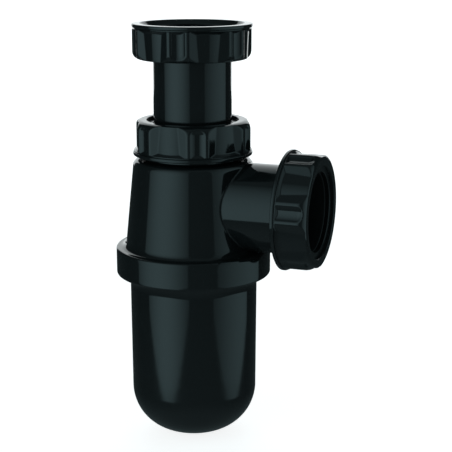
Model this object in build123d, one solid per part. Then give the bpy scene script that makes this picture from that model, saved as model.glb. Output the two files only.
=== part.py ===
from build123d import *
import math
import os

# A telescopic bottle trap for a wash basin. The origin is on the trap's axis, at the face of
# the inlet washer, where the basin waste lands. Z is up and the outlet points along X.
# All sizes are in millimetres.

os.makedirs("parts", exist_ok=True)

# The waste pipe that the trap takes. The tail is a length of the same pipe.
pipe_radius = 17.3
tail_wall = 1.8
tail_length = 88.8
tail_chamfer = 0.8

# Clearances: plastic round the pipe, rubber round the pipe, rubber in its seat, one thread
# in another, and a ring, seal or flange in the part that is screwed over it.
pipe_gap = 0.3
seal_gap = 0.05
seat_gap = 0.1
thread_gap = 0.3
ring_gap = 0.3

# The compression joint, used at the neck and again at the outlet. Its seat tapers from the
# pipe's hole to its mouth, and the rim round the mouth carries the thread.
seat_taper = 2.6
seat_rim = 1.9
seal_cone_length = 7.5
seal_head_thickness = 2.0
ring_thickness = 2.0
ring_bevel = 0.4
joint_thread_depth = 0.9
joint_lip = 1.5
joint_opening_gap = 3.1

# The inlet: a G 1 1/4 thread, and the flange that hangs on the nut's lip.
inlet_thread_radius = 20.955
inlet_lip = 2.0
flange_width = 1.9
flange_thickness = 2.2
washer_thickness = 2.0

# The outside that all three nuts share. A nut is a round blank with a rim at its mouth, six
# flats, and a flute along each of the six corners between them. A rounded bead is left on
# each side of a flute, and both cuts end in a slope at their foot.
nut_height = 15.4
nut_wall = 3.9
mouth_flare = 0.6
rim_stand = 0.2
rim_height = 1.8
rim_bevel = 0.4
groove_depth = 0.65
groove_width = 0.7
shoulder_round = 3.5
corner_count = 6
flat_depth = 1.4
flute_depth = 1.5
flute_round = 5.0
flute_end = 12.8
cut_foot = 3.3
bead_round = 1.3
bead_crest = 0.02
opening_bevel = 0.4

# The way each nut's flutes point: the angle of one fluted corner about the nut's own axis.
inlet_nut_turn = -21.5
neck_nut_turn = -3.5
outlet_nut_turn = 15.7

# The housing. The branch runs just under the shoulder and just over the ledge.
tail_reveal = 26.6
neck_gap = 2.0
neck_fillet = 0.8
shoulder_width = 4.3
body_flare = 4.05
body_round = 3.0
body_wall = 2.3
ledge_width = 4.35
ledge_fillet = 3.0
ledge_thickness = 2.4
skirt_wall = 2.5
skirt_height = 12.3
skirt_round = 0.9
dip_wall = 1.95
water_seal = 75.0

# The outlet branch.
branch_wall = 1.85
branch_cover = 0.85
branch_ledge_gap = 0.05
branch_fillet = 1.8
outlet_stand = 25.2
stop_width = 1.3
socket_length = 20.0
collar_setback = 1.2

# The bottle and its seal.
sump_depth = 17.2
bottle_step = 3.55
bottle_draft = 0.33
bottle_wall = 2.2
knuckle_inset = 7.75
crown_bulge = 11.25
bottle_seal_thickness = 2.0
bottle_seal_overhang = 0.6
bottle_thread_wall = 2.6
bottle_thread_depth = 0.9
bottle_flare_round = 10.5
bottle_shoulder_drop = 1.3

# Radii that follow from the sizes above.
pipe_hole_radius = pipe_radius + pipe_gap
seal_hole_radius = pipe_radius + seal_gap
flange_radius = pipe_radius + flange_width
seat_mouth_radius = pipe_hole_radius + seat_taper
joint_thread_radius = seat_mouth_radius + seat_rim
joint_bore_radius = joint_thread_radius + thread_gap
joint_opening_radius = pipe_radius + joint_opening_gap
ring_radius = joint_bore_radius - joint_thread_depth - ring_gap
mouth_radius = joint_bore_radius + mouth_flare
grip_radius = joint_bore_radius + nut_wall
rim_radius = grip_radius + rim_stand
groove_radius = grip_radius - groove_depth
branch_radius = pipe_hole_radius + branch_wall
passage_radius = pipe_radius - stop_width
dip_radius = pipe_hole_radius + dip_wall
body_top_radius = joint_thread_radius + shoulder_width
body_base_radius = body_top_radius + body_flare
skirt_radius = body_base_radius + ledge_width
skirt_bore_radius = skirt_radius - skirt_wall
bottle_thread_radius = skirt_bore_radius - thread_gap
bottle_radius = skirt_bore_radius - bottle_step
knuckle_radius = bottle_radius - knuckle_inset
crown_radius = bottle_radius + crown_bulge

# Heights and reaches that follow from the sizes above.
ring_face = joint_lip + ring_thickness
seat_face = ring_face + seal_head_thickness + seat_gap
branch_drop = branch_radius + branch_cover
body_height = branch_drop + branch_radius + branch_ledge_gap

inlet_mouth_z = nut_height - inlet_lip - flange_thickness - washer_thickness
inlet_nut_bottom_z = inlet_mouth_z - nut_height
neck_face_z = inlet_nut_bottom_z - tail_reveal
neck_mouth_z = neck_face_z - nut_height
neck_top_z = neck_face_z - seat_face
shoulder_z = neck_mouth_z - neck_gap
ledge_z = shoulder_z - body_height
seal_seat_z = ledge_z - ledge_thickness
skirt_bottom_z = ledge_z - skirt_height
branch_z = shoulder_z - branch_drop
dip_end_z = branch_z - passage_radius - water_seal
bottle_rim_z = seal_seat_z - bottle_seal_thickness
bottle_bottom_z = dip_end_z - sump_depth
outlet_reach = skirt_radius + outlet_stand
branch_end_x = outlet_reach - seat_face
nut_mouth_x = outlet_reach - nut_height


def turned(outline, rounds=()):
    """A solid of revolution about Z from (radius, height) corners.

    rounds lists a corner of the outline with the radius that it is rounded to.
    """
    face = make_face(Polyline(*outline, close=True))
    for corner, size in rounds:
        vertex = face.vertices().sort_by_distance(Vector(*corner))[0]
        face = fillet(vertex, size)
    return revolve(Plane.XZ * face, Axis.Z)


def nut(bore_radius, pocket_radius, pocket_height, opening_radius, lip, turn):
    """A nut that stands on its mouth at height 0, with its lip at the top.

    Its threaded bore ends at pocket_height, and a plain pocket runs from there to the lip.
    """
    grip_foot = rim_height + groove_width
    shoulder = (grip_radius, nut_height)
    blank = turned(
        [
            (mouth_radius, 0),
            (rim_radius - rim_bevel, 0),
            (rim_radius, rim_bevel),
            (rim_radius, rim_height - rim_bevel),
            (rim_radius - rim_bevel, rim_height),
            (groove_radius, rim_height),
            (groove_radius, grip_foot),
            (grip_radius, grip_foot),
            shoulder,
            (opening_radius + opening_bevel, nut_height),
            (opening_radius, nut_height - opening_bevel),
            (opening_radius, nut_height - lip),
            (pocket_radius, nut_height - lip),
            (pocket_radius, pocket_height),
            (bore_radius, pocket_height),
            (bore_radius, mouth_radius - bore_radius),
        ],
        [(shoulder, shoulder_round)],
    )
    for index in range(corner_count):
        corner = Rot(0, 0, turn + index * 360 / corner_count)
        blank -= corner * Rot(0, 0, 180 / corner_count) * flat_cutter()
        for cutter in flute_cutters():
            blank -= corner * cutter
    return blank


def cut_space():
    """The ring of space that the nuts' cutters may take, above a slope of 45 degrees."""
    reach = nut_wall
    return turned(
        [
            (grip_radius + reach, cut_foot - reach),
            (grip_radius - reach, cut_foot + reach),
            (grip_radius - reach, nut_height + reach),
            (grip_radius + reach, nut_height + reach),
        ]
    )


def cut_face(floor, round_centre, floor_end, edge):
    """The face of a cutter: its floor, a bead's rounding at each end, and straight sides.

    The rounding is centred at round_centre. It leaves the floor at floor_end, and it meets
    the grip at edge.
    """
    middle = ((floor_end + edge) / 2 - round_centre).normalized() * bead_round + round_centre
    far = edge * ((grip_radius + nut_wall) / grip_radius)
    half = [
        ThreePointArc(floor_end, middle, edge),
        Line(edge, far),
        Line(far, (far.X, 0)),
    ]
    outline = Curve() + floor + half + [mirror(line, Plane.XZ) for line in half]
    return make_face(outline)


def flat_cutter():
    """What is cut away for the flat that faces along X, with a rounded bead on each side."""
    reach = grip_radius - flat_depth
    crest = grip_radius + bead_crest
    angle = math.acos((reach - bead_round) / (crest - bead_round))
    round_centre = Vector(reach - bead_round, (crest - bead_round) * math.sin(angle))
    floor_end = Vector(reach, round_centre.Y)
    edge = Vector(crest * math.cos(angle), crest * math.sin(angle))
    floor = [Line((reach, -floor_end.Y), floor_end)]
    return extrude(cut_face(floor, round_centre, floor_end, edge), nut_height) & cut_space()


def flute_cutters():
    """What is cut away for the flute along X: its length, and the ball that is its far end."""
    centre = grip_radius - flute_depth + flute_round
    crest = grip_radius + bead_crest
    inner, outer = crest - bead_round, flute_round + bead_round
    angle = math.acos((inner**2 + centre**2 - outer**2) / (2 * inner * centre))
    round_centre = Vector(inner * math.cos(angle), inner * math.sin(angle))
    flute_centre = Vector(centre, 0)
    floor_end = flute_centre + (round_centre - flute_centre) * (flute_round / outer)
    edge = Vector(crest * math.cos(angle), crest * math.sin(angle))
    floor = [ThreePointArc((floor_end.X, -floor_end.Y), (centre - flute_round, 0), floor_end)]
    face = cut_face(floor, round_centre, floor_end, edge)
    end_height = flute_end - math.sqrt(flute_round**2 - (flute_round - flute_depth) ** 2)
    ball = Pos(centre, 0, end_height) * Sphere(flute_round)
    return extrude(face, end_height) & cut_space(), ball


def joint_nut(turn):
    """A compression nut for the neck or the outlet."""
    pocket_height = nut_height - ring_face
    return nut(
        joint_bore_radius,
        ring_radius + ring_gap,
        pocket_height,
        joint_opening_radius,
        joint_lip,
        turn,
    )


def slip_ring():
    """The ring that lies against a compression nut's lip, its outer face at height 0."""
    return turned(
        [
            (pipe_hole_radius, 0),
            (ring_radius - ring_bevel, 0),
            (ring_radius, -ring_bevel),
            (ring_radius, -ring_thickness),
            (pipe_hole_radius, -ring_thickness),
        ]
    )


def cone_seal():
    """A rubber seal with a flat head at height 0 and a cone that points down."""
    head_foot = -seal_head_thickness
    cone_foot = head_foot - seal_cone_length
    return turned(
        [
            (seal_hole_radius, 0),
            (ring_radius - ring_bevel, 0),
            (ring_radius, -ring_bevel),
            (ring_radius, head_foot),
            (seat_mouth_radius - seat_gap, head_foot),
            (pipe_hole_radius, cone_foot),
            (seal_hole_radius, cone_foot),
        ]
    )


def inlet_tail():
    """The flanged tube that hangs in the inlet nut."""
    flange_top = -washer_thickness
    flange_foot = flange_top - flange_thickness
    end = flange_top - tail_length
    inner = pipe_radius - tail_wall
    return turned(
        [
            (inner, flange_top),
            (flange_radius, flange_top),
            (flange_radius, flange_foot),
            (pipe_radius, flange_foot),
            (pipe_radius, end + tail_chamfer),
            (pipe_radius - tail_chamfer, end),
            (inner, end),
        ]
    )


def inlet_washer():
    """The flat rubber washer that lies on the tail's flange."""
    return turned(
        [
            (pipe_radius - tail_wall, 0),
            (flange_radius, 0),
            (flange_radius, -washer_thickness),
            (pipe_radius - tail_wall, -washer_thickness),
        ]
    )


def housing_outside():
    """The outer form of the housing: a tapered body with its branch, its neck and its skirt."""
    slope = (body_base_radius - body_top_radius) / body_height
    body = Pos(0, 0, shoulder_z) * turned(
        [
            (0, 0),
            (body_top_radius, 0),
            (body_base_radius + slope * skirt_height, -body_height - skirt_height),
            (0, -body_height - skirt_height),
        ],
        [((body_top_radius, 0), body_round)],
    )
    branch = Pos(0, 0, branch_z) * Rot(0, 90, 0) * Cylinder(
        branch_radius, branch_end_x, align=(Align.CENTER, Align.CENTER, Align.MIN)
    )
    body += branch
    meeting = body.edges().filter_by(GeomType.BSPLINE).sort_by(SortBy.LENGTH)[-1]
    body = fillet(meeting, branch_fillet)

    neck_foot = (joint_thread_radius, 0)
    neck_height = neck_top_z - shoulder_z
    shoulder_flat = body_top_radius - body_round
    neck = Pos(0, 0, shoulder_z) * turned(
        [
            (0, neck_height),
            (joint_thread_radius, neck_height),
            neck_foot,
            (shoulder_flat, 0),
            (shoulder_flat, -body_wall),
            (0, -body_wall),
        ],
        [(neck_foot, neck_fillet)],
    )

    ledge_inside = body_base_radius - body_wall
    ledge_corner = (body_base_radius, 0)
    skirt_top = (skirt_radius, 0)
    skirt_foot = (skirt_radius, -skirt_height)
    rise = 2 * ledge_fillet
    skirt = Pos(0, 0, ledge_z) * turned(
        [
            (ledge_inside, rise),
            (body_base_radius - slope * rise, rise),
            ledge_corner,
            skirt_top,
            skirt_foot,
            (ledge_inside, -skirt_height),
        ],
        [
            (ledge_corner, ledge_fillet),
            (skirt_top, skirt_round),
            (skirt_foot, skirt_round),
        ],
    )

    # The branch swells to its thread just inside the outlet nut.
    collar_start = nut_mouth_x + collar_setback
    collar = Pos(0, 0, branch_z) * Rot(0, 90, 0) * turned(
        [
            (0, collar_start),
            (branch_radius, collar_start),
            (joint_thread_radius, collar_start + joint_thread_radius - branch_radius),
            (joint_thread_radius, branch_end_x),
            (0, branch_end_x),
        ]
    )
    return body + neck + skirt + collar


def trap_housing():
    """The housing, hollowed, with its dip tube."""
    slope = (body_base_radius - body_top_radius) / body_height
    roof_z = shoulder_z - body_wall
    roof_corner = (body_top_radius - body_wall + slope * body_wall, roof_z)
    floor_radius = body_base_radius - body_wall + slope * ledge_thickness
    chamber = turned(
        [
            (0, roof_z),
            roof_corner,
            (floor_radius, seal_seat_z),
            (skirt_bore_radius, seal_seat_z),
            (skirt_bore_radius, skirt_bottom_z),
            (0, skirt_bottom_z),
        ],
        [(roof_corner, body_round - body_wall)],
    )
    shell = housing_outside() - chamber

    # Along the branch: the seal's tapered seat, the socket for the pipe, its stop, and the
    # passage from the chamber.
    seat_end_x = branch_end_x - seal_cone_length
    stop_x = branch_end_x - socket_length
    shell -= Pos(0, 0, branch_z) * Rot(0, 90, 0) * turned(
        [
            (0, dip_radius),
            (passage_radius, dip_radius),
            (passage_radius, stop_x),
            (pipe_hole_radius, stop_x),
            (pipe_hole_radius, seat_end_x),
            (seat_mouth_radius, branch_end_x),
            (0, branch_end_x),
        ]
    )

    dip_tube = Pos(0, 0, dip_end_z) * Cylinder(
        dip_radius, roof_z - dip_end_z, align=(Align.CENTER, Align.CENTER, Align.MIN)
    )
    seat_end_z = neck_top_z - seal_cone_length
    tail_way = turned(
        [
            (0, neck_top_z),
            (seat_mouth_radius, neck_top_z),
            (pipe_hole_radius, seat_end_z),
            (pipe_hole_radius, dip_end_z),
            (0, dip_end_z),
        ]
    )
    return shell + dip_tube - tail_way


def bottle_side(inset, top_z):
    """The bottle's side, from the middle of its bottom up to top_z, taken in by a wall.

    Returns its lines and the point where they end.
    """
    draft = math.tan(math.radians(bottle_draft))
    knuckle = knuckle_radius - inset
    crown = crown_radius - inset

    # The knuckle's centre is set so that it touches the wall and the crown smoothly.
    guess_z = bottle_bottom_z + crown_radius / 2
    wall_radius = bottle_radius - draft * (skirt_bottom_z - guess_z)
    knuckle_x = wall_radius - knuckle_radius
    crown_z = bottle_bottom_z + crown_radius
    knuckle_z = crown_z - math.sqrt((crown_radius - knuckle_radius) ** 2 - knuckle_x**2)
    lean = math.atan2(knuckle_x, crown_z - knuckle_z)
    half = (lean + math.pi / 2) / 2
    join = (crown * math.sin(lean), crown_z - crown * math.cos(lean))
    mid_crown = (crown * math.sin(lean / 2), crown_z - crown * math.cos(lean / 2))
    mid_knuckle = (knuckle_x + knuckle * math.sin(half), knuckle_z - knuckle * math.cos(half))
    wall_foot = (knuckle_x + knuckle, knuckle_z)
    wall_top = (wall_foot[0] + draft * (top_z - knuckle_z), top_z)
    lines = [
        ThreePointArc((0, bottle_bottom_z + inset), mid_crown, join),
        ThreePointArc(join, mid_knuckle, wall_foot),
        Line(wall_foot, wall_top),
    ]
    return lines, wall_top


def bottle():
    """The bottle: a threaded rim, a slightly tapered wall and a flattened round bottom."""
    neck_z = skirt_bottom_z + bottle_shoulder_drop
    flare_z = neck_z - bottle_wall
    outer_lines, flare_foot = bottle_side(0, flare_z)
    inner_lines, neck_foot = bottle_side(bottle_wall, neck_z)

    # The wall flares inside the skirt to the threaded rim.
    rim_inner = bottle_thread_radius - bottle_thread_wall
    rim_lines = Polyline(
        flare_foot,
        (bottle_thread_radius, flare_z + bottle_thread_radius - flare_foot[0]),
        (bottle_thread_radius, bottle_rim_z),
        (rim_inner, bottle_rim_z),
        (rim_inner, neck_z + rim_inner - neck_foot[0]),
        neck_foot,
    )
    axis_line = Line((0, bottle_bottom_z), (0, bottle_bottom_z + bottle_wall))
    face = make_face(Curve() + outer_lines + inner_lines + [rim_lines, axis_line])
    corner = face.vertices().sort_by_distance(Vector(*flare_foot))[0]
    return revolve(Plane.XZ * fillet(corner, bottle_flare_round), Axis.Z)


def bottle_seal():
    """The flat rubber ring that the bottle's rim presses against the housing."""
    inner = bottle_thread_radius - bottle_thread_wall - bottle_seal_overhang
    outer = skirt_bore_radius - bottle_thread_depth - ring_gap
    return turned(
        [
            (inner, seal_seat_z),
            (outer, seal_seat_z),
            (outer, bottle_rim_z),
            (inner, bottle_rim_z),
        ]
    )


at_neck = Pos(0, 0, neck_face_z)
at_outlet = Pos(outlet_reach, 0, branch_z) * Rot(0, 90, 0)
inlet_blank = nut(
    inlet_thread_radius,
    flange_radius + ring_gap,
    inlet_mouth_z,
    pipe_hole_radius,
    inlet_lip,
    -inlet_nut_turn,
)

pieces = {
    "inlet_nut": Pos(0, 0, inlet_mouth_z) * Rot(180, 0, 0) * inlet_blank,
    "inlet_washer": inlet_washer(),
    "inlet_tail": inlet_tail(),
    "neck_nut": at_neck * Pos(0, 0, -nut_height) * joint_nut(neck_nut_turn),
    "neck_slip_ring": at_neck * Pos(0, 0, -joint_lip) * slip_ring(),
    "neck_cone_seal": at_neck * Pos(0, 0, -ring_face) * cone_seal(),
    "trap_housing": trap_housing(),
    "outlet_nut": at_outlet * Pos(0, 0, -nut_height) * joint_nut(outlet_nut_turn),
    "outlet_slip_ring": at_outlet * Pos(0, 0, -joint_lip) * slip_ring(),
    "outlet_cone_seal": at_outlet * Pos(0, 0, -ring_face) * cone_seal(),
    "bottle": bottle(),
    "bottle_seal": bottle_seal(),
}

for name, shape in pieces.items():
    export_step(shape, f"parts/{name}.step")
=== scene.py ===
import math
import bmesh
import bpy
import numpy as np
from mathutils import Matrix


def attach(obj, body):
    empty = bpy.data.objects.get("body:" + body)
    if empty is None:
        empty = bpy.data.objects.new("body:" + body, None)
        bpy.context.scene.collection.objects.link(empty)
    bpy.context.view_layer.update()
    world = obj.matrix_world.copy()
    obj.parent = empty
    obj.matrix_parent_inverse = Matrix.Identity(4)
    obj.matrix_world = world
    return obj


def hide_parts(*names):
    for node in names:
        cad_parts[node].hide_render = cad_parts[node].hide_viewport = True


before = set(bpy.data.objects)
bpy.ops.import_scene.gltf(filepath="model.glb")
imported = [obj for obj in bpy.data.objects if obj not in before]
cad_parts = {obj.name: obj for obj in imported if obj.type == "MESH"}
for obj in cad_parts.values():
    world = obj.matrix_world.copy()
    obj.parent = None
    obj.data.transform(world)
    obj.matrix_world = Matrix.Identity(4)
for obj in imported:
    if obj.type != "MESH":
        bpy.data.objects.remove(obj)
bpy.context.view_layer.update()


# Trap housing. One injection moulding in glossy black polypropylene: the body, the threaded
# neck, the outlet branch, the skirt that takes the bottle, and the dip tube down the middle.
# It hangs from the neck joint, and its three threads carry the nuts and the bottle.
mm = 0.001
pipe_hole = 17.6
neck_top, shoulder, branch_height, ledge = -38.4, -50.2, -70.5, -90.0
body_top_radius, body_base_radius, skirt_radius = 26.4, 30.45, 34.8
body_wall, skirt_bore, skirt_foot = 2.3, 32.3, -102.3
seal_seat, roof, dip_end = -92.4, -52.5, -161.5
dip_radius = 19.55
branch_radius, branch_end, passage_radius, pipe_stop = 19.45, 54.4, 16.0, 34.4
seat_mouth, seat_depth = 20.2, 7.5
joint_thread, joint_pitch, thread_depth = 22.1, 3.0, 0.9
neck_root = joint_thread - thread_depth
bottle_pitch = 3.5
body_round, chamber_foot_round, chamber_top_round, skirt_edge = 3.0, 0.4, 0.7, 0.5
housing_columns = 288


def rounded(corners, closed=True):
    """The points of an outline from corners of (radius, height, rounding, parts).

    parts is the number of equal runs in the straight line that follows the corner. A line
    that isn't divided gets a point near each end, which keeps its shading flat.
    """
    fine_step, coarse_step, small, support = math.radians(9), math.radians(23), 0.6, 0.35
    points = [np.array(corner[:2], float) for corner in corners]
    arcs = []
    for index, corner in enumerate(corners):
        here = points[index]
        at_end = not closed and index in (0, len(corners) - 1)
        if corner[2] == 0 or at_end:
            arcs.append([here])
            continue
        to_last = points[index - 1] - here
        to_next = points[(index + 1) % len(corners)] - here
        to_last /= np.linalg.norm(to_last)
        to_next /= np.linalg.norm(to_next)
        half = math.acos(np.clip(to_last @ to_next, -1, 1)) / 2
        middle = (to_last + to_next) / np.linalg.norm(to_last + to_next)
        centre = here + middle * corner[2] / math.sin(half)
        first = here + to_last * corner[2] / math.tan(half) - centre
        last = here + to_next * corner[2] / math.tan(half) - centre
        turn = math.pi - 2 * half
        arc_step = fine_step if corner[2] > small else coarse_step
        share = np.linspace(0, 1, max(3, math.ceil(turn / arc_step)) + 1)[:, None]
        arc = first * np.sin((1 - share) * turn) + last * np.sin(share * turn)
        arcs.append(list(centre + arc / math.sin(turn)))
    outline = []
    for index, arc in enumerate(arcs):
        outline += arc
        if index == len(arcs) - 1 and not closed:
            break
        start, end = arc[-1], arcs[(index + 1) % len(arcs)][0]
        length = np.linalg.norm(end - start)
        parts = corners[index][3] if len(corners[index]) > 3 else 1
        stops = [step / parts for step in range(1, parts)]
        if parts == 1 and length > 4 * support:
            stops = [support / length, 1 - support / length]
        outline += [start + (end - start) * stop for stop in stops]
    return np.array(outline)


def spun(outline, angles):
    """A grid of points: each outline point carried round Z through the angles."""
    radius, height = outline[:, :1], outline[:, 1:]
    flat = np.zeros_like(angles)[None, :]
    return np.stack([radius * np.cos(angles), radius * np.sin(angles), height + flat], axis=2)


def full_turn(columns):
    """Evenly spaced angles round Z, one for each column."""
    return np.arange(columns) * 2 * math.pi / columns


def shell(grid, closed=True, skip=None):
    """The points and four-sided faces of a grid whose columns go right round."""
    rows, columns = grid.shape[:2]
    index = np.arange(rows * columns).reshape(rows, columns)
    below = np.roll(index, -1, axis=0)
    faces = np.stack(
        [index, np.roll(index, -1, axis=1), np.roll(below, -1, axis=1), below], axis=2
    )
    keep = np.ones((rows, columns), bool)
    if not closed:
        keep[-1] = False
    if skip is not None:
        keep &= ~skip
    return grid.reshape(-1, 3), faces[keep].tolist()


def make_piece(name, shells, material, place=Matrix.Identity(4)):
    """One object from shells in millimetres, closed, smoothed and in its place."""
    sharp_angle = math.radians(38)
    merge_distance = 1e-6
    points, faces = [], []
    for shell_points, shell_faces in shells:
        start = sum(len(group) for group in points)
        points.append(shell_points)
        faces += [[start + corner for corner in face] for face in shell_faces]
    mesh = bpy.data.meshes.new(name)
    mesh.from_pydata((np.concatenate(points) * mm).tolist(), [], faces)
    form = bmesh.new()
    form.from_mesh(mesh)
    bmesh.ops.remove_doubles(form, verts=form.verts, dist=merge_distance)
    form.transform(place)
    bmesh.ops.recalc_face_normals(form, faces=form.faces)
    form.to_mesh(mesh)
    form.free()
    mesh.shade_smooth()
    mesh.set_sharp_from_angle(angle=sharp_angle)
    mesh.materials.append(material)
    piece = bpy.data.objects.new(name, mesh)
    bpy.context.scene.collection.objects.link(piece)
    return piece


def outline_distance(place, outline):
    """How far (radius, height) places are from a closed outline, and which way is out of it.

    The distance is negative inside.
    """
    tiny = 1e-12
    start, end = outline, np.roll(outline, -1, axis=0)
    run = end - start
    away = place[:, None, :] - start[None]
    length = np.maximum((run**2).sum(axis=1), tiny)
    share = np.clip((away * run).sum(axis=2) / length, 0, 1)
    lead = away - share[..., None] * run
    gaps = (lead**2).sum(axis=2)
    closest = gaps.argmin(axis=1)
    rows = np.arange(len(place))
    gap = np.sqrt(gaps[rows, closest])
    rise = np.where(np.abs(run[:, 1]) < tiny, tiny, run[:, 1])
    beside = (start[:, 1] <= place[:, None, 1]) != (end[:, 1] <= place[:, None, 1])
    crossing = start[:, 0] + (place[:, None, 1] - start[:, 1]) * run[:, 0] / rise
    inside = ((place[:, None, 0] < crossing) & beside).sum(axis=1) % 2 == 1
    side = np.where(inside, -1.0, 1.0)
    way = lead[rows, closest] * (side / np.maximum(gap, tiny))[:, None]
    return gap * side, way


def branch_join(body_outline, rows, radius, near_x, angle_columns, fillet):
    """The rings that join a round body to a branch of the given radius along X.

    rows are the (radius, height) places down the side of the opening that is left in the
    body. The rings run from that opening to near_x on the branch, and a fillet rounds the
    corner between them. Returns the rings and their angles round the branch.
    """
    along = np.concatenate([[0], np.cumsum(np.linalg.norm(np.diff(rows, axis=0), axis=1))])
    half = angle_columns // 2
    column_angle = 2 * math.pi / housing_columns
    side = half * column_angle
    across = np.arange(-half, half + 1) * column_angle
    edge_angle = np.concatenate([
        across[half:-1], np.full(len(rows) - 1, side), across[::-1][:-1],
        np.full(len(rows) - 1, -side), across[:half],
    ])
    edge_along = np.concatenate([
        np.full(half, along[0]), along[:-1], np.full(2 * half, along[-1]),
        along[::-1][:-1], np.full(half, along[0]),
    ])

    # Where the branch meets the body, all the way round it.
    meeting_points = 721
    turn = np.linspace(0, 2 * math.pi, meeting_points)
    height = branch_height + radius * np.cos(turn)
    down = np.argsort(rows[:, 1], kind="stable")
    meet_radius = np.interp(height, rows[down, 1], rows[down, 0])
    meet_along = np.interp(height, rows[down, 1], along[down])
    meet_x = np.sqrt(meet_radius**2 - (radius * np.sin(turn)) ** 2)
    meet_angle = np.arctan2(radius * np.sin(turn), meet_x)

    # Each point of the opening's edge takes the branch angle that lies in its direction.
    middle = np.interp(-branch_height, -rows[:, 1], along)
    mean_radius = rows[:, 0].mean()
    meet_way = np.unwrap(np.arctan2(meet_angle * mean_radius, middle - meet_along))
    edge_way = np.unwrap(np.arctan2(edge_angle * mean_radius, middle - edge_along))
    branch_turn = np.interp(edge_way, meet_way, turn)

    join_x = np.interp(branch_turn, turn, meet_x)
    join_angle = np.interp(branch_turn, turn, meet_angle)
    join_along = np.interp(branch_turn, turn, meet_along)

    # The rings lie closer together toward the corner between body and branch.
    body_rings, branch_rings, crowding = 23, 17, 1.7
    rings = []
    for share in np.linspace(1, 0, body_rings)[:-1]:
        angle = join_angle + (edge_angle - join_angle) * share**crowding
        place = join_along + (edge_along - join_along) * share**crowding
        reach = np.interp(place, along, rows[:, 0])
        level = np.interp(place, along, rows[:, 1])
        rings.append(np.stack([reach * np.cos(angle), reach * np.sin(angle), level], axis=1))
    for share in np.linspace(0, 1, branch_rings):
        x = join_x + (near_x - join_x) * share**crowding
        y, z = radius * np.sin(branch_turn), branch_height + radius * np.cos(branch_turn)
        rings.append(np.stack([x, y, z], axis=1))
    rings = np.array(rings)

    def apart(point):
        """How far a point is from body and branch together, with their corner filled.

        A ball of the fillet's size that touches both of them bounds the filled corner.
        """
        tiny, least_slant = 1e-6, 1e-3
        spread = np.maximum(np.hypot(point[:, 0], point[:, 1]), tiny)
        to_body, way = outline_distance(np.stack([spread, point[:, 2]], axis=1), body_outline)
        side, rise = point[:, 1], point[:, 2] - branch_height
        reach = np.maximum(np.hypot(side, rise), tiny)
        to_branch = reach - radius
        lean = (side * way[:, 0] * side / spread + rise * way[:, 1]) / reach
        size = fillet(point[:, 2])
        by_body, by_branch = to_body - size, to_branch - size
        between = (by_body < lean * by_branch) & (by_branch < lean * by_body)
        across = by_body**2 + by_branch**2 - 2 * lean * by_body * by_branch
        slant = np.maximum(1 - lean**2, least_slant)
        corner = size - np.sqrt(np.maximum(across, 0) / slant)
        return np.where(between, corner, np.minimum(to_body, to_branch))

    # The rings between the two edges are drawn on to the filleted surface.
    nudge, steps, least_slope, longest_step = 1e-3, 7, 0.2, 0.8
    point = rings[1:-1].reshape(-1, 3)
    for _ in range(steps):
        slope = np.stack([
            (apart(point + nudge * way) - apart(point - nudge * way)) / (2 * nudge)
            for way in np.eye(3)
        ], axis=1)
        step = apart(point) / np.maximum((slope**2).sum(axis=1), least_slope)
        point = point - slope * np.clip(step, -longest_step, longest_step)[:, None]
    rings[1:-1] = point.reshape(rings[1:-1].shape)
    return rings, branch_turn


def body_radius(height):
    """The body's outer radius: it widens evenly from its shoulder to its ledge."""
    share = (shoulder - height) / (shoulder - ledge)
    return body_top_radius + (body_base_radius - body_top_radius) * share


def housing_outline(chamber_parts):
    """The housing's outline, with the chamber's side divided into equal runs."""
    body_parts, skirt_parts = 24, 8
    return rounded([
        (seat_mouth, neck_top, 0.2),
        (neck_root, neck_top, 0.3),
        (neck_root, shoulder, 0.8),
        (body_top_radius, shoulder, body_round, body_parts),
        (body_base_radius, ledge, body_round),
        (skirt_radius, ledge, 0.9, skirt_parts),
        (skirt_radius, skirt_foot, 0.9),
        (skirt_bore, skirt_foot, skirt_edge),
        (skirt_bore, seal_seat, 0.3),
        (body_radius(seal_seat) - body_wall, seal_seat, chamber_foot_round, chamber_parts),
        (body_radius(roof) - body_wall, roof, chamber_top_round),
        (dip_radius, roof, 0.5),
        (dip_radius, dip_end, 0.5),
        (pipe_hole, dip_end, 0.5),
        (pipe_hole, neck_top - seat_depth, 0.3),
    ])


def nearest(outline, radius, height):
    """The row of the outline that lies nearest to a place."""
    return int(np.argmin(np.hypot(outline[:, 0] - radius, outline[:, 1] - height)))


def opening_rows(outline):
    """The rows of the outline at the top and foot of the branch's opening, out and in."""
    below_ledge = 4.0
    return (
        nearest(outline, body_top_radius - body_round, shoulder),
        nearest(outline, skirt_radius, ledge - below_ledge),
        nearest(outline, body_radius(seal_seat) - body_wall, seal_seat + chamber_foot_round),
        nearest(outline, body_radius(roof) - body_wall, roof - chamber_top_round),
    )


def branch_fillet(height):
    """The moulding's fillet, which shrinks where the branch's underside nears the ledge."""
    low, run, least, growth = -88.5, 4.5, 0.45, 0.25
    share = np.clip((height - low) / run, 0, 1)
    return least + growth * share**2 * (3 - 2 * share)


# The chamber's wall gets as many rows down its side of the opening as the outside has.
outer_top, outer_foot = opening_rows(housing_outline(1))[:2]
outline = housing_outline(outer_foot - outer_top)
outer_top, outer_foot, inner_foot, inner_top = opening_rows(outline)
inner_foot = inner_top - (outer_foot - outer_top)

# The outside and the chamber as outlines that are closed along the axis, for the fillets.
first_row, rows_below, rows_above = 3, 3, 12
skirt_end = nearest(outline, skirt_bore, skirt_foot + skirt_edge)
solid_outline = np.concatenate([
    outline[first_row:skirt_end], [[0, skirt_foot], [0, outline[first_row, 1]]],
])
chamber_outline = np.concatenate([
    outline[inner_foot - rows_below:inner_top + rows_above], [[0, roof], [0, seal_seat]],
])

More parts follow.
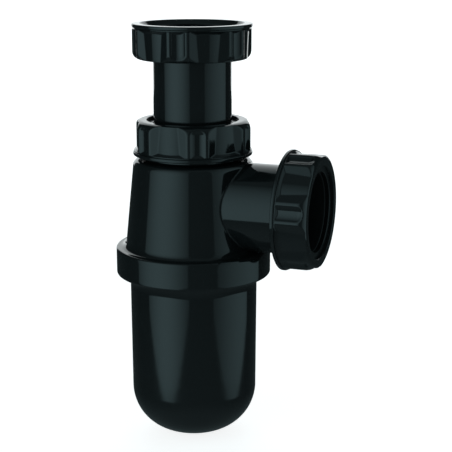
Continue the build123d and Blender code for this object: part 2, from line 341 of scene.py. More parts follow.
opening_columns = 90
outer_join_end, inner_join_end, inner_fillet = 36.5, 30.0, 0.4
outer_rings, outer_turn = branch_join(
    solid_outline, outline[outer_top:outer_foot + 1], branch_radius, outer_join_end,
    opening_columns, branch_fillet,
)
inner_rings, inner_turn = branch_join(
    chamber_outline, outline[inner_foot:inner_top + 1][::-1], passage_radius, inner_join_end,
    opening_columns, lambda height: np.full_like(height, inner_fillet),
)
collar_start = 45.8
tube = rounded([
    (branch_radius, outer_join_end, 0),
    (branch_radius, collar_start, 0.5),
    (neck_root, collar_start + neck_root - branch_radius, 0.4),
    (neck_root, branch_end, 0.3),
    (seat_mouth, branch_end, 0.2),
    (pipe_hole, branch_end - seat_depth, 0.3),
    (pipe_hole, pipe_stop, 0.3),
    (passage_radius, pipe_stop, 0.4),
    (passage_radius, inner_join_end, 0),
], closed=False)
share = np.linspace(0, 1, len(tube))[:, None]
tube_turn = outer_turn + (inner_turn - outer_turn) * share
tube_rings = np.stack([
    np.broadcast_to(tube[:, 1:], tube_turn.shape),
    tube[:, :1] * np.sin(tube_turn),
    branch_height + tube[:, :1] * np.cos(tube_turn),
], axis=2)
branch_grid = np.concatenate([outer_rings, tube_rings[1:-1], inner_rings[::-1]])

columns = full_turn(housing_columns)
in_opening = (np.arange(housing_columns) < opening_columns // 2) | (
    np.arange(housing_columns) >= housing_columns - opening_columns // 2
)
row = np.arange(len(outline))
cut_rows = ((row >= outer_top) & (row < outer_foot)) | ((row >= inner_foot) & (row < inner_top))
housing_shells = [
    shell(spun(outline, columns), skip=cut_rows[:, None] & in_opening[None, :]),
    shell(branch_grid, closed=False),
]


def math_node(tree, operation, *values):
    """The result of one sum in a node tree, worked on other nodes' results or on numbers."""
    node = tree.nodes.new("ShaderNodeMath")
    node.operation = operation
    for slot, value in enumerate(values):
        if isinstance(value, bpy.types.NodeSocket):
            tree.links.new(value, node.inputs[slot])
        else:
            node.inputs[slot].default_value = value
    return node.outputs[0]


def make_thread_tree():
    """Geometry nodes for one thread ridge: a tapered bar swept along a right-hand helix.

    Radius is the wall that the ridge stands on, and Depth its height, negative inwards.
    """
    steps_per_turn, taper, least_size = 72, 4.0, 0.02
    tree = bpy.data.node_groups.new("thread ridge", "GeometryNodeTree")
    interface, nodes, links = tree.interface, tree.nodes, tree.links
    for name in ("Radius", "Depth", "Pitch", "Turns", "Start", "Phase", "Foot", "Crest"):
        interface.new_socket(name, in_out="INPUT", socket_type="NodeSocketFloat")
    interface.new_socket("Plastic", in_out="INPUT", socket_type="NodeSocketMaterial")
    interface.new_socket("Ridge", in_out="OUTPUT", socket_type="NodeSocketGeometry")
    given = nodes.new("NodeGroupInput").outputs

    helix = nodes.new("GeometryNodeCurveSpiral")
    helix.inputs["Resolution"].default_value = steps_per_turn
    links.new(given["Turns"], helix.inputs["Rotations"])
    links.new(given["Radius"], helix.inputs["Start Radius"])
    links.new(given["Radius"], helix.inputs["End Radius"])
    rise = math_node(tree, "MULTIPLY", given["Pitch"], given["Turns"])
    links.new(rise, helix.inputs["Height"])

    lift, turn = nodes.new("ShaderNodeCombineXYZ"), nodes.new("ShaderNodeCombineXYZ")
    links.new(given["Start"], lift.inputs["Z"])
    links.new(given["Phase"], turn.inputs["Z"])
    placed = nodes.new("GeometryNodeTransform")
    links.new(helix.outputs[0], placed.inputs["Geometry"])
    links.new(lift.outputs[0], placed.inputs["Translation"])
    links.new(turn.outputs[0], placed.inputs["Rotation"])
    upright = nodes.new("GeometryNodeSetCurveNormal")
    upright.mode = "Z_UP"
    links.new(placed.outputs[0], upright.inputs["Curve"])

    bar = nodes.new("GeometryNodeCurvePrimitiveQuadrilateral")
    bar.mode = "TRAPEZOID"
    links.new(given["Foot"], bar.inputs["Bottom Width"])
    links.new(given["Crest"], bar.inputs["Top Width"])
    bar_height = math_node(tree, "ABSOLUTE", given["Depth"])
    links.new(bar_height, bar.inputs["Height"])
    half_height = math_node(tree, "MULTIPLY", bar_height, 0.5)
    raise_bar = nodes.new("ShaderNodeCombineXYZ")
    links.new(half_height, raise_bar.inputs["Y"])
    stood = nodes.new("GeometryNodeTransform")
    links.new(bar.outputs[0], stood.inputs["Geometry"])
    links.new(raise_bar.outputs[0], stood.inputs["Translation"])
    inward = math_node(tree, "LESS_THAN", given["Depth"], 0.0)
    quarter = math_node(tree, "MULTIPLY_ADD", inward, math.pi, -math.pi / 2)
    tip = nodes.new("ShaderNodeCombineXYZ")
    links.new(quarter, tip.inputs["Z"])
    aimed = nodes.new("GeometryNodeTransform")
    links.new(stood.outputs[0], aimed.inputs["Geometry"])
    links.new(tip.outputs[0], aimed.inputs["Rotation"])

    # The ridge runs out to nothing over a quarter of a turn at each end.
    along = nodes.new("GeometryNodeSplineParameter").outputs["Factor"]
    from_start = math_node(tree, "MULTIPLY", along, given["Turns"])
    from_end = math_node(tree, "SUBTRACT", given["Turns"], from_start)
    nearest_end = math_node(tree, "MINIMUM", from_start, from_end)
    growth = math_node(tree, "MULTIPLY_ADD", nearest_end, taper, least_size)
    size = math_node(tree, "MINIMUM", growth, 1.0)
    sweep = nodes.new("GeometryNodeCurveToMesh")
    sweep.inputs["Fill Caps"].default_value = True
    links.new(upright.outputs[0], sweep.inputs["Curve"])
    links.new(aimed.outputs[0], sweep.inputs["Profile Curve"])
    links.new(size, sweep.inputs["Scale"])

    real = nodes.new("GeometryNodeRealizeInstances")
    links.new(sweep.outputs[0], real.inputs[0])
    finish = nodes.new("GeometryNodeSetMaterial")
    links.new(real.outputs[0], finish.inputs["Geometry"])
    links.new(given["Plastic"], finish.inputs["Material"])
    links.new(finish.outputs[0], nodes.new("NodeGroupOutput").inputs["Ridge"])
    return tree


thread_tree = make_thread_tree()


def thread_ridge(radius, depth, pitch, turns, start, phase, material):
    """One ridge as a shell in millimetres, worked out by the thread's nodes.

    It is sunk a little into the wall that it stands on, and its depth is negative inwards.
    """
    sunk = math.copysign(0.1, depth)
    foot_share, crest_share = 0.8, 0.22
    sizes = {
        "Radius": radius - sunk, "Depth": depth + sunk, "Pitch": pitch, "Turns": turns,
        "Start": start, "Phase": phase, "Foot": foot_share * pitch,
        "Crest": crest_share * pitch, "Plastic": material,
    }
    carrier = bpy.data.objects.new("thread carrier", bpy.data.meshes.new("thread carrier"))
    bpy.context.scene.collection.objects.link(carrier)
    nodes = carrier.modifiers.new("thread", "NODES")
    nodes.node_group = thread_tree
    for socket in thread_tree.interface.items_tree:
        if socket.in_out == "INPUT":
            nodes[socket.identifier] = sizes[socket.name]
    found = carrier.evaluated_get(bpy.context.evaluated_depsgraph_get())
    mesh = bpy.data.meshes.new_from_object(found)
    points = np.array([vertex.co[:] for vertex in mesh.vertices])
    faces = [list(face.vertices) for face in mesh.polygons]
    carrier.modifiers.remove(nodes)
    bpy.data.objects.remove(carrier)
    bpy.data.meshes.remove(mesh)
    return points, faces


def moved(shell_pair, place):
    """A shell carried to another place by a matrix in millimetres."""
    points, faces = shell_pair
    turned = np.array(place.to_3x3())
    return points @ turned.T + np.array(place.translation), faces


def new_group(name, inputs, outputs):
    """An empty group of shader nodes with its sockets."""
    group = bpy.data.node_groups.new(name, "ShaderNodeTree")
    for label, kind, value in inputs:
        socket = group.interface.new_socket(label, in_out="INPUT", socket_type=kind)
        socket.default_value = value
    for label, kind in outputs:
        group.interface.new_socket(label, in_out="OUTPUT", socket_type=kind)
    return group


def noise(tree, place, scale, detail=2.0, rough=0.5):
    """A cloudy value between 0 and 1 that changes with place."""
    node = tree.nodes.new("ShaderNodeTexNoise")
    node.inputs["Scale"].default_value = scale
    node.inputs["Detail"].default_value = detail
    node.inputs["Roughness"].default_value = rough
    tree.links.new(place, node.inputs["Vector"])
    return node.outputs["Fac"]


def make_skin_group():
    """The skin of a moulded piece: slow waves from the mould, and fine handling marks."""
    cloud_scale, mark_scale, wave_scale, grain_scale = 55.0, 420.0, 90.0, 1800.0
    drawn_out, mark_contrast = 0.35, 3.0
    group = new_group(
        "moulded skin",
        [("Deep", "NodeSocketColor", (0, 0, 0, 1)), ("Pale", "NodeSocketColor", (0, 0, 0, 1)),
         ("Smooth", "NodeSocketFloat", 0.1), ("Rubbed", "NodeSocketFloat", 0.2),
         ("Wave", "NodeSocketFloat", 0.1), ("Grain", "NodeSocketFloat", 0.1)],
        [("Colour", "NodeSocketColor"), ("Roughness", "NodeSocketFloat"),
         ("Height", "NodeSocketFloat")],
    )
    nodes, links = group.nodes, group.links
    given = nodes.new("NodeGroupInput").outputs
    place = nodes.new("ShaderNodeTexCoord").outputs["Object"]
    cloud = noise(group, place, cloud_scale, detail=3.0, rough=0.55)
    tint = nodes.new("ShaderNodeMix")
    tint.data_type = "RGBA"
    links.new(cloud, tint.inputs["Factor"])
    links.new(given["Deep"], tint.inputs["A"])
    links.new(given["Pale"], tint.inputs["B"])

    # Handling marks lie in patches and are drawn out along Z.
    stretch = nodes.new("ShaderNodeMapping")
    stretch.inputs["Scale"].default_value = (1.0, 1.0, drawn_out)
    links.new(place, stretch.inputs["Vector"])
    marks = noise(group, stretch.outputs[0], mark_scale, detail=5.0, rough=0.65)
    marks = math_node(group, "POWER", marks, mark_contrast)
    marks = math_node(group, "MULTIPLY", marks, cloud)
    spread = math_node(group, "SUBTRACT", given["Rubbed"], given["Smooth"])
    rough = math_node(group, "MULTIPLY_ADD", marks, spread, given["Smooth"])

    wave = noise(group, place, wave_scale, detail=1.0)
    wave = math_node(group, "MULTIPLY", wave, given["Wave"])
    grain = math_node(group, "MULTIPLY", noise(group, place, grain_scale), given["Grain"])
    out = nodes.new("NodeGroupOutput").inputs
    links.new(tint.outputs["Result"], out["Colour"])
    links.new(rough, out["Roughness"])
    links.new(math_node(group, "ADD", wave, grain), out["Height"])
    return group


skin_group = make_skin_group()


def moulded_material(name, deep, pale, smooth, rubbed, wave, grain):
    """A moulded plastic or rubber that takes its colour and skin from the shared group."""
    plastic_ior, bump_strength, bump_depth = 1.5, 0.5, 0.0001
    material = bpy.data.materials.new(name)
    material.use_nodes = True
    tree = material.node_tree
    surface = tree.nodes["Principled BSDF"]
    surface.inputs["IOR"].default_value = plastic_ior
    skin = tree.nodes.new("ShaderNodeGroup")
    skin.node_tree = skin_group
    for label, value in (("Deep", deep), ("Pale", pale), ("Smooth", smooth),
                         ("Rubbed", rubbed), ("Wave", wave), ("Grain", grain)):
        skin.inputs[label].default_value = value
    bump = tree.nodes.new("ShaderNodeBump")
    bump.inputs["Strength"].default_value = bump_strength
    bump.inputs["Distance"].default_value = bump_depth
    tree.links.new(skin.outputs["Height"], bump.inputs["Height"])
    tree.links.new(skin.outputs["Colour"], surface.inputs["Base Color"])
    tree.links.new(skin.outputs["Roughness"], surface.inputs["Roughness"])
    tree.links.new(bump.outputs["Normal"], surface.inputs["Normal"])
    return material


black_plastic = moulded_material(
    "glossy black plastic", (0.0082, 0.0096, 0.0100, 1), (0.0106, 0.0120, 0.0124, 1),
    smooth=0.07, rubbed=0.26, wave=0.22, grain=0.012,
)

# The male threads of the neck and the branch, and the female one in the skirt. Each pair of
# threads is set half a pitch apart, so that the ridges of one lie in the other's grooves.
neck_turns, branch_turns, skirt_turns = 2.7, 1.6, 1.4
neck_thread_back, branch_thread_back, skirt_thread_foot = 9.2, 5.9, -100.4
along_branch = Matrix.Translation((branch_end, 0, branch_height)) @ Matrix.Rotation(
    math.pi / 2, 4, "Y")
neck_ridge = thread_ridge(
    neck_root, thread_depth, joint_pitch, neck_turns, neck_top - neck_thread_back, 0.0,
    black_plastic)
branch_ridge = thread_ridge(
    neck_root, thread_depth, joint_pitch, branch_turns, -branch_thread_back, 0.0,
    black_plastic)
skirt_ridge = thread_ridge(
    skirt_bore, -thread_depth, bottle_pitch, skirt_turns, skirt_thread_foot, math.pi,
    black_plastic)
housing = make_piece(
    "housing", housing_shells + [neck_ridge, moved(branch_ridge, along_branch), skirt_ridge],
    black_plastic)
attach(housing, "housing")
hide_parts("trap_housing")


# Bottle. A smooth cup in the same black plastic with a flattened round bottom, moulded in
# one with the thread round its rim. It screws up into the skirt and holds the water seal.
bottle_rim, bottle_thread_radius, bottle_bottom = -94.4, 32.0, -178.7
bottle_radius, bottle_draft, bottle_wall = 28.75, math.tan(math.radians(0.33)), 2.2
knuckle_radius, crown_radius = 21.0, 40.0
rim_inside, flare_top, flare_round = 29.4, -101.0, 10.5
bottle_turns, bottle_thread_foot, bottle_columns = 1.2, -99.2, 256


def bottle_side(inset):
    """The bottle's outline from the middle of its bottom up to its flare."""
    crown_points, knuckle_points = 16, 30
    wall_rises = [0.6, 4.0, 20.0, 36.0, 47.0]
    drafted = skirt_foot - (bottle_bottom + crown_radius / 2)
    knuckle_x = bottle_radius - bottle_draft * drafted - knuckle_radius
    crown_z = bottle_bottom + crown_radius
    knuckle_z = crown_z - math.sqrt((crown_radius - knuckle_radius) ** 2 - knuckle_x**2)
    lean = math.atan2(knuckle_x, crown_z - knuckle_z)
    crown = np.linspace(0, lean, crown_points)[:, None]
    knuckle = np.linspace(lean, math.pi / 2, knuckle_points)[1:, None]
    crown_line = (crown_radius - inset) * np.hstack([np.sin(crown), -np.cos(crown)])
    knuckle_line = (knuckle_radius - inset) * np.hstack([np.sin(knuckle), -np.cos(knuckle)])
    rise = np.array(wall_rises)[:, None]
    wall_foot = np.array([knuckle_x + knuckle_radius - inset, knuckle_z])
    return np.vstack([
        crown_line + [0, crown_z],
        knuckle_line + [knuckle_x, knuckle_z],
        wall_foot + rise * [bottle_draft, 1],
    ])


outer_side, inner_side = bottle_side(0), bottle_side(bottle_wall)
wall_outside, wall_inside = outer_side[-1, 0], inner_side[-1, 0]
flare_foot = flare_top - bottle_wall
thread_root = bottle_thread_radius - thread_depth
rim = rounded([
    (wall_outside, outer_side[-1, 1], 0),
    (wall_outside, flare_foot, flare_round),
    (thread_root, flare_foot + thread_root - wall_outside, 0.6),
    (thread_root, bottle_rim, 0.4),
    (rim_inside, bottle_rim, 0.4),
    (rim_inside, flare_top + rim_inside - wall_inside, 1.0),
    (wall_inside, flare_top, 1.0),
    (wall_inside, inner_side[-1, 1], 0),
], closed=False)
bottle_line = np.vstack([outer_side[:-1], rim, inner_side[::-1][1:]])
bottle_shell = shell(spun(bottle_line, full_turn(bottle_columns)), closed=False)
bottle_ridge = thread_ridge(
    thread_root, thread_depth, bottle_pitch, bottle_turns, bottle_thread_foot, 0.0,
    black_plastic)
bottle = make_piece("bottle", [bottle_shell, bottle_ridge], black_plastic)
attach(bottle, "bottle")
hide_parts("bottle")


# Bottle seal. A flat ring cut from black rubber sheet, which lies on the bottle's rim and is
# pressed against the seat inside the skirt.
black_rubber = moulded_material(
    "black rubber", (0.0070, 0.0074, 0.0076, 1), (0.0125, 0.0130, 0.0132, 1),
    smooth=0.38, rubbed=0.75, wave=0.3, grain=0.25,
)


def ring_piece(name, corners, material, place=Matrix.Identity(4)):
    """A piece turned from one closed outline."""
    ring_columns = 192
    ring_shell = shell(spun(rounded(corners), full_turn(ring_columns)))
    return make_piece(name, [ring_shell], material, place)


bottle_seal_inside, bottle_seal_radius, ring_edge = rim_inside - 0.6, 31.1, 0.3
bottle_seal = ring_piece("bottle_seal", [
    (bottle_seal_inside, seal_seat, ring_edge),
    (bottle_seal_radius, seal_seat, ring_edge),
    (bottle_seal_radius, bottle_rim, ring_edge),
    (bottle_seal_inside, bottle_rim, ring_edge),
], black_rubber)
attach(bottle_seal, "bottle_seal")
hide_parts("bottle_seal")


# Cone seals. Two moulded rubber rings, one on the tail and one waiting for the waste pipe.
# The nut drives each one down its tapered seat, and that closes it on the pipe.
neck_face, outlet_face = -32.8, 60.0
ring_radius, joint_lip, ring_thickness = 21.2, 1.5, 2.0
seal_hole, head_thickness = 17.35, 2.0
mouth_clearance, hole_clearance = 0.1, 0.05
at_neck = Matrix.Translation((0, 0, neck_face * mm))
at_outlet = Matrix.Translation((outlet_face * mm, 0, branch_height * mm)) @ Matrix.Rotation(
    math.pi / 2, 4, "Y")
seal_top = -joint_lip - ring_thickness
head_foot = seal_top - head_thickness
cone_outline = [
    (seal_hole, seal_top, ring_edge),
    (ring_radius, seal_top, 0.4),
    (ring_radius, head_foot, 0.2),
    (seat_mouth - mouth_clearance, head_foot, 0.1),
    (pipe_hole + hole_clearance, head_foot - seat_depth, 0.1),
    (seal_hole, head_foot - seat_depth, 0.08),
]
for name, body, place in (
    ("neck_cone_seal", "neck_seal", at_neck), ("outlet_cone_seal", "housing", at_outlet)
):
    seal = ring_piece(name, cone_outline, black_rubber, place)
    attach(seal, body)
    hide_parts(name)


# Slip rings. Two flat rings of hard black plastic, which turn freely between the nut's lip
# and the rubber, so that tightening the nut doesn't wring the seal.
slip_plastic = moulded_material(
    "slip ring plastic", (0.0060, 0.0064, 0.0066, 1), (0.0095, 0.0100, 0.0104, 1),
    smooth=0.16, rubbed=0.45, wave=0.1, grain=0.05,
)
slip_outline = [
    (pipe_hole, -joint_lip, ring_edge),
    (ring_radius, -joint_lip, 0.4),
    (ring_radius, seal_top, 0.2),
    (pipe_hole, seal_top, 0.2),
]
for name, body, place in (
    ("neck_slip_ring", "neck_ring", at_neck), ("outlet_slip_ring", "outlet_ring", at_outlet)
):
    slip_ring = ring_piece(name, slip_outline, slip_plastic, place)
    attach(slip_ring, body)
    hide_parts(name)


# Nuts. Three glossy black mouldings with one outside: a rim at the mouth, a groove behind
# it, six lobed flats, and a flute along each corner for the fingers. Two close the pipe
# joints, and the third draws the basin waste down on to the tail.
nut_height, rim_radius, rim_height = 15.4, 26.5, 1.6
grip_radius, grip_foot, groove_depth, shoulder_round = 26.3, 2.2, 0.65, 3.5
nut_mouth_radius, side_turn = 23.0, math.pi / 3
lobe_round, lobe_crest, lobe_lean = 18.0, 24.85, 0.04
foot_reach, foot_turn = 22.6, math.radians(11.1)
flute_round, flute_centre, flute_end = 5.0, 29.8, 15.2
flute_half, cut_foot = math.radians(12.6), 1.7
grip_parts, flute_columns, flat_columns = 56, 64, 46
flat_softness, flute_softness, slope_softness = 0.3, 0.5, 0.15


def soft_least(first, second, softness):
    """The smaller of two radii, with the edge where they cross rounded."""
    near = np.maximum(softness - np.abs(first - second), 0) / softness
    return np.minimum(first, second) - near**2 * softness / 4


def near_side(centre, size, angle):
    """Where a line out from the axis meets a round cutter, or far away if it misses."""
    far_away = 99.0
    chord = size**2 - (centre * np.sin(angle)) ** 2
    met = (chord > 0) & (np.cos(angle) > 0)
    return np.where(met, centre * np.cos(angle) - np.sqrt(np.maximum(chord, 0)), far_away)


def nut_shells(bore, pocket, pocket_height, opening, lip, turn, ridge):
    """A nut on its mouth at height 0, with its lip at the top and its thread inside."""
    outline = rounded([
        (nut_mouth_radius, 0, 0.25),
        (rim_radius, 0, 0.4),
        (rim_radius, rim_height, 0.4),
        (grip_radius - groove_depth, rim_height, 0.15),
        (grip_radius - groove_depth, grip_foot, 0.15),
        (grip_radius, grip_foot, 0.2, grip_parts),
        (grip_radius, nut_height, shoulder_round),
        (opening, nut_height, 0.4),
        (opening, nut_height - lip, 0.2),
        (pocket, nut_height - lip, 0.2),
        (pocket, pocket_height, 0.1),
        (bore, pocket_height, 0.1),
        (bore, nut_mouth_radius - bore, 0.2),
    ])
    radius, height = outline[:, :1], outline[:, 1:]

    # The columns lie closer over the flutes than over the flats.
    over_flute = np.linspace(-flute_half, flute_half, flute_columns)
    over_flat = np.linspace(flute_half, side_turn - flute_half, flat_columns)[1:-1]
    sector = np.concatenate([over_flute, over_flat])
    angles = np.concatenate([sector + corner * side_turn for corner in range(6)])
    from_flute = np.tile(sector, 6)[None, :]
    from_flute = np.where(from_flute > side_turn / 2, from_flute - side_turn, from_flute)
    from_flat = side_turn / 2 - np.abs(from_flute)

    # Each flat is a round lobe that leans in toward the lip, with a flat foot up to each bead.
    lobe_offset = lobe_crest - lobe_lean * (height - grip_foot) - lobe_round
    lobe_cut = lobe_offset * np.cos(from_flat) + np.sqrt(
        lobe_round**2 - (lobe_offset * np.sin(from_flat)) ** 2)
    foot_cut = foot_reach / np.cos(from_flat + foot_turn)
    flat_cut = -soft_least(-lobe_cut, -foot_cut, slope_softness)

    # The flute's far end is a ball, and both cuts stop at a slope above the groove.
    slope = grip_radius + cut_foot - height
    reach = math.sqrt(flute_round**2 - (flute_centre - grip_radius) ** 2)
    above = np.maximum(height - (flute_end - reach), 0)
    flute_size = np.sqrt(np.maximum(flute_round**2 - above**2, 0))
    flute_cut = near_side(flute_centre, flute_size, from_flute)
    floor = soft_least(flat_cut, flute_cut, flat_softness)
    floor = -soft_least(-floor, -slope, slope_softness)

    # Above the groove each point is drawn in to the floor of its cut.
    softness = np.where(flute_cut < flat_cut, flute_softness, flat_softness)
    cut = soft_least(radius, floor, softness)
    scale = np.where(height > grip_foot, cut / radius, 1.0)
    grid = spun(outline, angles)
    grid[:, :, :2] *= scale[:, :, None]
    spin = Matrix.Rotation(turn, 4, "Z")
    return [moved(shell(grid), spin), ridge]


thread_gap, joint_opening = 0.3, 20.4
joint_bore = joint_thread + thread_gap
joint_pocket = joint_bore - thread_depth
pocket_height = nut_height - joint_lip - ring_thickness
ridge_lift, ridge_room = 0.6, 0.9
neck_mouth = neck_face - nut_height
outlet_mouth = outlet_face - nut_height

for name, body, turn, place, mouth, thread_zero in (
    ("neck_nut", "neck_nut", math.radians(-3.5), at_neck, neck_mouth,
     neck_top - neck_thread_back),
    ("outlet_nut", "outlet_nut", math.radians(20.7), at_outlet, outlet_mouth,
     branch_end - branch_thread_back),
):
    # The female ridge lies half a turn away from the male one.
    ridge_start = (thread_zero - mouth) % joint_pitch + ridge_lift
    phase = 2 * math.pi * ridge_lift / joint_pitch + math.pi
    turns = (pocket_height - ridge_room - ridge_start) / joint_pitch
    ridge = thread_ridge(
        joint_bore, -thread_depth, joint_pitch, turns, ridge_start, phase, black_plastic)
    shells = nut_shells(
        joint_bore, joint_pocket, pocket_height, joint_opening, joint_lip, turn, ridge)
    stand = place @ Matrix.Translation((0, 0, -nut_height * mm))
    nut = make_piece(name, shells, black_plastic, stand)
    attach(nut, body)
    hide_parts(name)

inlet_bore, inlet_pocket, inlet_mouth, inlet_lip = 20.955, 19.5, 9.2, 2.0
inlet_pitch, inlet_thread_depth = 2.309, 1.4
inlet_turns, inlet_thread_start = 2.2, 2.6
inlet_ridge = thread_ridge(
    inlet_bore, -inlet_thread_depth, inlet_pitch, inlet_turns, inlet_thread_start, 0.0,
    black_plastic)
shells = nut_shells(
    inlet_bore, inlet_pocket, inlet_mouth, pipe_hole, inlet_lip, math.radians(21.5),
    inlet_ridge)
mouth_up = Matrix.Translation((0, 0, inlet_mouth * mm)) @ Matrix.Rotation(math.pi, 4, "X")
inlet_nut = make_piece("inlet_nut", shells, black_plastic, mouth_up)
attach(inlet_nut, "inlet_nut")
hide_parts("inlet_nut")


# Tail. A flanged black tube that hangs on the inlet nut's lip and slides in the neck joint,
# which sets the height of the trap.
tail_radius, tail_inside, flange_radius = 17.3, 15.5, 19.2
flange_top, flange_foot, tail_end, lead_in = -2.0, -4.2, -90.8, 0.8
tail = ring_piece("tail", [
    (tail_inside, flange_top, ring_edge),
    (flange_radius, flange_top, ring_edge),
    (flange_radius, flange_foot, ring_edge),
    (tail_radius, flange_foot, 0.4),
    (tail_radius, tail_end + lead_in, ring_edge),
    (tail_radius - lead_in, tail_end, ring_edge),
    (tail_inside, tail_end, ring_edge),
], black_plastic)
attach(tail, "tail")
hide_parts("inlet_tail")


# Inlet washer. A flat washer cut from black rubber, which lies on the tail's flange. The end
# of the basin waste lands on it when the inlet nut is tightened.
washer = ring_piece("washer", [
    (tail_inside, 0, ring_edge),
    (flange_radius, 0, ring_edge),
    (flange_radius, flange_top, ring_edge),
    (tail_inside, flange_top, ring_edge),
], black_rubber)
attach(washer, "tail")
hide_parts("inlet_washer")


# Floor and backdrop. A plain white studio: a pale floor under the trap, a lit white wall
# behind it, and a dim room all round.
floor_height, floor_half = bottle_bottom * mm, 1.2
wall_distance, wall_half, wall_top = 1.15, 0.62, 2.0
view_azimuth = math.radians(-68.0)


def flat_sheet(name, corners, material):
    """One flat face that stands in the studio and isn't part of the trap."""
    mesh = bpy.data.meshes.new(name)
    mesh.from_pydata(corners, [], [(0, 1, 2, 3)])
    mesh.materials.append(material)
    sheet = bpy.data.objects.new(name, mesh)
    bpy.context.scene.collection.objects.link(sheet)
    return sheet


def separate(tree, source, label):
    """The X, Y and Z of one of a node's results."""
    node = tree.nodes.new("ShaderNodeSeparateXYZ")
    tree.links.new(tree.nodes.new(source).outputs[label], node.inputs[0])
    return node.outputs


def seen_directly(tree):
    """1 for what the camera sees straight on or through something clear, and 0 otherwise."""
    path = tree.nodes.new("ShaderNodeLightPath").outputs
    return math_node(tree, "MAXIMUM", path["Is Camera Ray"], path["Is Transmission Ray"])


def ramp(tree, value, start, end, at_start, at_end):
    """Runs evenly from at_start to at_end while the value runs from start to end."""
    node = tree.nodes.new("ShaderNodeMapRange")
    for label, number in (("From Min", start), ("From Max", end),
                          ("To Min", at_start), ("To Max", at_end)):
        node.inputs[label].default_value = number
    tree.links.new(value, node.inputs["Value"])
    return node.outputs["Result"]


def glow_material(name, seen_glow, low_glow, top_glow, top):
    """A pale matt surface with one glow for the camera, and one for reflections and light.

    The second changes with height, from low_glow to top_glow.
    """
    paleness, matt, glow_start = 0.8, 0.9, 0.2
    material = bpy.data.materials.new(name)
    material.use_nodes = True
    tree = material.node_tree
    surface = tree.nodes["Principled BSDF"]
    surface.inputs["Base Color"].default_value = (paleness, paleness, paleness, 1)
    surface.inputs["Roughness"].default_value = matt
    surface.inputs["Specular IOR Level"].default_value = 0.0
    surface.inputs["Emission Color"].default_value = (1, 1, 1, 1)
    height = separate(tree, "ShaderNodeTexCoord", "Object")["Z"]
    plain = ramp(tree, height, glow_start, top, low_glow, top_glow)
    seen = math_node(tree, "MULTIPLY", seen_directly(tree), seen_glow)
    glow = math_node(tree, "MAXIMUM", seen, plain)
    tree.links.new(glow, surface.inputs["Emission Strength"])
    return material


# The floor casts no shadow and isn't mirrored, so the lights reach the plastic from below.
floor_material = glow_material(
    "pale floor", seen_glow=0.85, low_glow=0.0, top_glow=0.0, top=1.0)
floor = flat_sheet("floor", [
    (-floor_half, -floor_half, floor_height), (floor_half, -floor_half, floor_height),
    (floor_half, floor_half, floor_height), (-floor_half, floor_half, floor_height),
], floor_material)
floor.visible_glossy = False
floor.visible_shadow = False

back = np.array([-math.cos(view_azimuth), -math.sin(view_azimuth)])
side = np.array([back[1], -back[0]])
left, right = back * wall_distance - side * wall_half, back * wall_distance + side * wall_half
wall_material = glow_material(
    "white backdrop", seen_glow=1.0, low_glow=1.0, top_glow=0.1, top=wall_top)
flat_sheet("backdrop", [
    (*left, floor_height), (*right, floor_height), (*right, wall_top), (*left, wall_top),
], wall_material)

# The room is white to the camera. To the plastic it is dim and slightly blue-green, and
# brighter on the camera's side, below and above.
room_colour = (0.68, 0.95, 1.0, 1)
world = bpy.data.worlds.new("dim studio")
bpy.context.scene.world = world
world.use_nodes = True
studio = world.node_tree
heading = separate(studio, "ShaderNodeTexCoord", "Generated")
toward_camera = math_node(
    studio, "ADD",
    math_node(studio, "MULTIPLY", heading["X"], math.cos(view_azimuth)),
    math_node(studio, "MULTIPLY", heading["Y"], math.sin(view_azimuth)))
around = ramp(studio, toward_camera, start=-0.4, end=0.8, at_start=0.03, at_end=0.10)
below = ramp(studio, heading["Z"], start=-0.3, end=-0.8, at_start=0.0, at_end=0.08)
above = ramp(studio, heading["Z"], start=0.6, end=1.0, at_start=0.0, at_end=0.09)
dim_room = math_node(studio, "ADD", around, math_node(studio, "ADD", below, above))
seen = seen_directly(studio)
tint = studio.nodes.new("ShaderNodeMix")
tint.data_type = "RGBA"
tint.inputs["A"].default_value, tint.inputs["B"].default_value = room_colour, (1, 1, 1, 1)
studio.links.new(seen, tint.inputs["Factor"])
room = studio.nodes["Background"].inputs
studio.links.new(tint.outputs["Result"], room["Color"])
studio.links.new(math_node(studio, "MAXIMUM", seen, dim_room), room["Strength"])


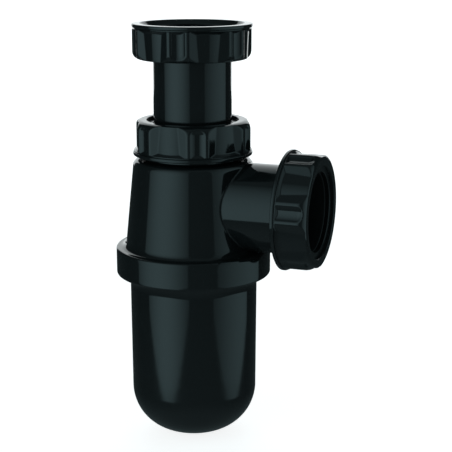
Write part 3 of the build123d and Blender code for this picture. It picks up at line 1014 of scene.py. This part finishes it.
# Lights. Two tall soft boxes, one to the left of the camera and one to its right, each wide
# enough to lay a band down the round walls. Each is brightest low down and near its middle.
def soft_box(name, bearing, half_width, level, across, across_spread):
    """A light in a tall box, whose glow falls away smoothly from its brightest place."""
    distance, low, high, colour = 4.0, -1.83, 7.4, (0.61, 0.94, 1.0)
    upward, upward_spread = 0.14, 0.40
    angle = view_azimuth + math.radians(bearing)
    light = bpy.data.lights.new(name, "AREA")
    light.shape = "RECTANGLE"
    light.size, light.size_y = 2 * half_width, high - low
    light.color = colour
    light.energy = level * math.pi * light.size * light.size_y
    light.use_nodes = True
    tree = light.node_tree
    place = separate(tree, "ShaderNodeNewGeometry", "Parametric")
    falls = []
    for axis, brightest, spread in (
        ("X", across, across_spread), ("Y", upward, upward_spread)
    ):
        off_centre = math_node(tree, "SUBTRACT", place[axis], brightest)
        share = math_node(tree, "DIVIDE", off_centre, spread)
        falls.append(math_node(tree, "POWER", share, 2.0))
    fall = math_node(tree, "MULTIPLY", math_node(tree, "ADD", *falls), -0.5)
    tree.links.new(
        math_node(tree, "EXPONENT", fall), tree.nodes["Emission"].inputs["Strength"])
    lamp = bpy.data.objects.new(name, light)
    bpy.context.scene.collection.objects.link(lamp)
    lamp.location = (
        distance * math.cos(angle), distance * math.sin(angle), (low + high) / 2)
    lamp.rotation_euler = (math.pi / 2, 0, angle + math.pi / 2)


soft_box(
    "left soft box", bearing=-48.5, half_width=3.36, level=0.93, across=0.46,
    across_spread=0.31)
soft_box(
    "right soft box", bearing=74.0, half_width=3.20, level=0.56, across=0.61,
    across_spread=0.38)


# Camera. It stands where the photograph was taken, a little to the right of the front and
# above the trap.
pitch, yaw = math.radians(-13.70), math.radians(-20.374)
lens = bpy.data.cameras.new("camera")
lens.lens = 94.87
lens.sensor_width = 36
lens.clip_start = 0.01
camera = bpy.data.objects.new("camera", lens)
bpy.context.scene.collection.objects.link(camera)
camera.location = (0.1959, -0.4852, 0.0459)
camera.rotation_euler = (math.pi / 2 + pitch, 0, -yaw)
bpy.context.scene.camera = camera
bpy.context.scene.view_settings.view_transform = "Standard"
